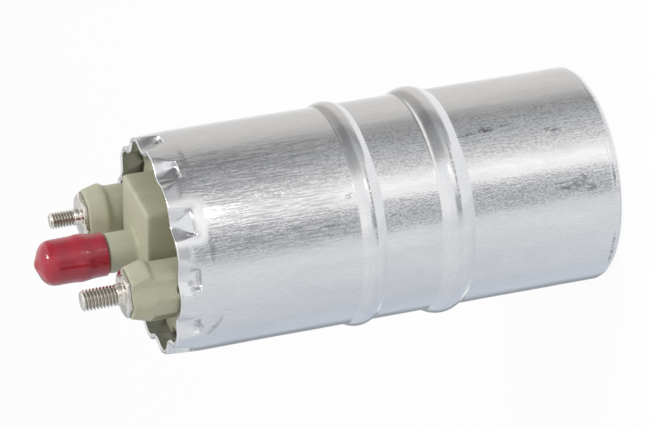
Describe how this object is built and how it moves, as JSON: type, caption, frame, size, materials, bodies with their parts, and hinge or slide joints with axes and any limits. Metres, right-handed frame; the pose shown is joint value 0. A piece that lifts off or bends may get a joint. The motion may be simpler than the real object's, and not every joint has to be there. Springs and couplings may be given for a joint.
{
  "type": "fuel pump",
  "caption": "In-tank electric fuel pump: round aluminium housing with two beads and a crimped rim, nylon end cap, outlet nipple under a red cap, and two threaded terminals.",
  "frame": {"origin": "centre of the inlet end, on the pump axis, in the plane that the pump stands on", "axes": "+Z along the pump axis from the inlet end to the outlet; +X towards the M5 terminal; +Y along the long side of the end cap's block"},
  "size_m": [0.0548, 0.0548, 0.1366],
  "materials": {
    "housing_aluminium": "drawn tube, satin with lengthwise scratches",
    "cast_aluminium": "die cast, machined faces",
    "seal_rubber": "matt",
    "screen_steel": "fine screen",
    "sintered_steel": "sintered, ground faces",
    "screw_steel": "zinc plated",
    "ball_steel": "polished",
    "spring_steel": "bright drawn wire",
    "brass": "satin",
    "bronze": "sintered, oiled",
    "coupling_plastic": "moulded",
    "flux_steel": "zinc plated",
    "ferrite": "ground ceramic",
    "shaft_steel": "ground",
    "core_steel": "stacked laminations",
    "enamelled_copper": "enamelled wire",
    "insulator_paper": "fibre sheet",
    "moulded_resin": "moulded resin",
    "bar_copper": "turned copper",
    "brush_carbon": "pressed carbon",
    "nickel_plate": "bright nickel",
    "cap_nylon": "moulded glass-filled nylon",
    "red_vinyl": "dipped vinyl"
  },
  "bodies": {
    "pump": {"housing": "housing_aluminium", "inlet_cover": "cast_aluminium", "inlet_seal": "seal_rubber", "inlet_screen": "screen_steel", "pump_ring": "cast_aluminium", "outlet_plate": "cast_aluminium", "pump_screws": "screw_steel", "relief_spring": "spring_steel", "relief_retainer": "brass", "lower_bearing": "bronze", "flux_ring": "flux_steel", "magnet_north": "ferrite", "magnet_south": "ferrite", "magnet_clips": "spring_steel", "upper_bearing": "bronze", "brush_holder": "cap_nylon", "brush_spring_positive": "spring_steel", "brush_spring_negative": "spring_steel", "brush_lead_positive": "bar_copper", "brush_lead_negative": "bar_copper", "contact_strap_positive": "brass", "contact_strap_negative": "brass", "terminal_stud_m5": "nickel_plate", "terminal_stud_m4": "nickel_plate", "end_cap": "cap_nylon", "cap_seal": "seal_rubber", "check_valve_seat": "brass", "check_valve_spring": "spring_steel"},
    "armature": {"armature_shaft": "shaft_steel", "armature_core": "core_steel", "armature_windings": "enamelled_copper", "slot_insulator_lower": "insulator_paper", "slot_insulator_upper": "insulator_paper", "commutator_hub": "moulded_resin", "commutator_bars": "bar_copper", "thrust_washer": "coupling_plastic", "drive_coupling": "coupling_plastic", "inner_rotor": "sintered_steel"},
    "outer_rotor": {"outer_rotor": "sintered_steel"},
    "check_valve": {"check_valve_plunger": "coupling_plastic"},
    "relief_valve": {"relief_ball": "ball_steel"},
    "positive_brush": {"brush_positive": "brush_carbon"},
    "negative_brush": {"brush_negative": "brush_carbon"},
    "red_cap": {"protective_cap": "red_vinyl"}
  },
  "joints": [
    {"name": "armature_spin", "type": "hinge", "parent": "pump", "child": "armature", "pos_m": [0, 0, 0.057], "axis": [0, 0, 1], "continuous": true},
    {"name": "outer_rotor_spin", "type": "hinge", "parent": "pump", "child": "outer_rotor", "pos_m": [0, 0.0012, 0.017], "axis": [0, 0, 1], "continuous": true},
    {"name": "check_valve_lift", "type": "slide", "parent": "pump", "child": "check_valve", "axis": [0, 0, 1], "range_m": [0, 0.002], "stiffness_N_per_m": 400, "springref_m": -0.002, "deforming": ["check_valve_spring"]},
    {"name": "relief_valve_lift", "type": "slide", "parent": "pump", "child": "relief_valve", "axis": [0, 0, -1], "range_m": [0, 0.0012], "stiffness_N_per_m": 900, "springref_m": -0.002, "deforming": ["relief_spring"]},
    {"name": "positive_brush_slide", "type": "slide", "parent": "pump", "child": "positive_brush", "axis": [0, 0, 1], "range_m": [0, 0.0015], "stiffness_N_per_m": 400, "springref_m": -0.004, "deforming": ["brush_spring_positive", "brush_lead_positive"]},
    {"name": "negative_brush_slide", "type": "slide", "parent": "pump", "child": "negative_brush", "axis": [0, 0, 1], "range_m": [0, 0.0015], "stiffness_N_per_m": 400, "springref_m": -0.004, "deforming": ["brush_spring_negative", "brush_lead_negative"]},
    {"name": "red_cap_pull", "type": "slide", "parent": "pump", "child": "red_cap", "axis": [0, 0, 1], "range_m": [0, 0.014]}
  ],
  "couplings": [
    {"joint": "outer_rotor_spin", "follows": "armature_spin", "ratio": 0.85714}
  ]
}
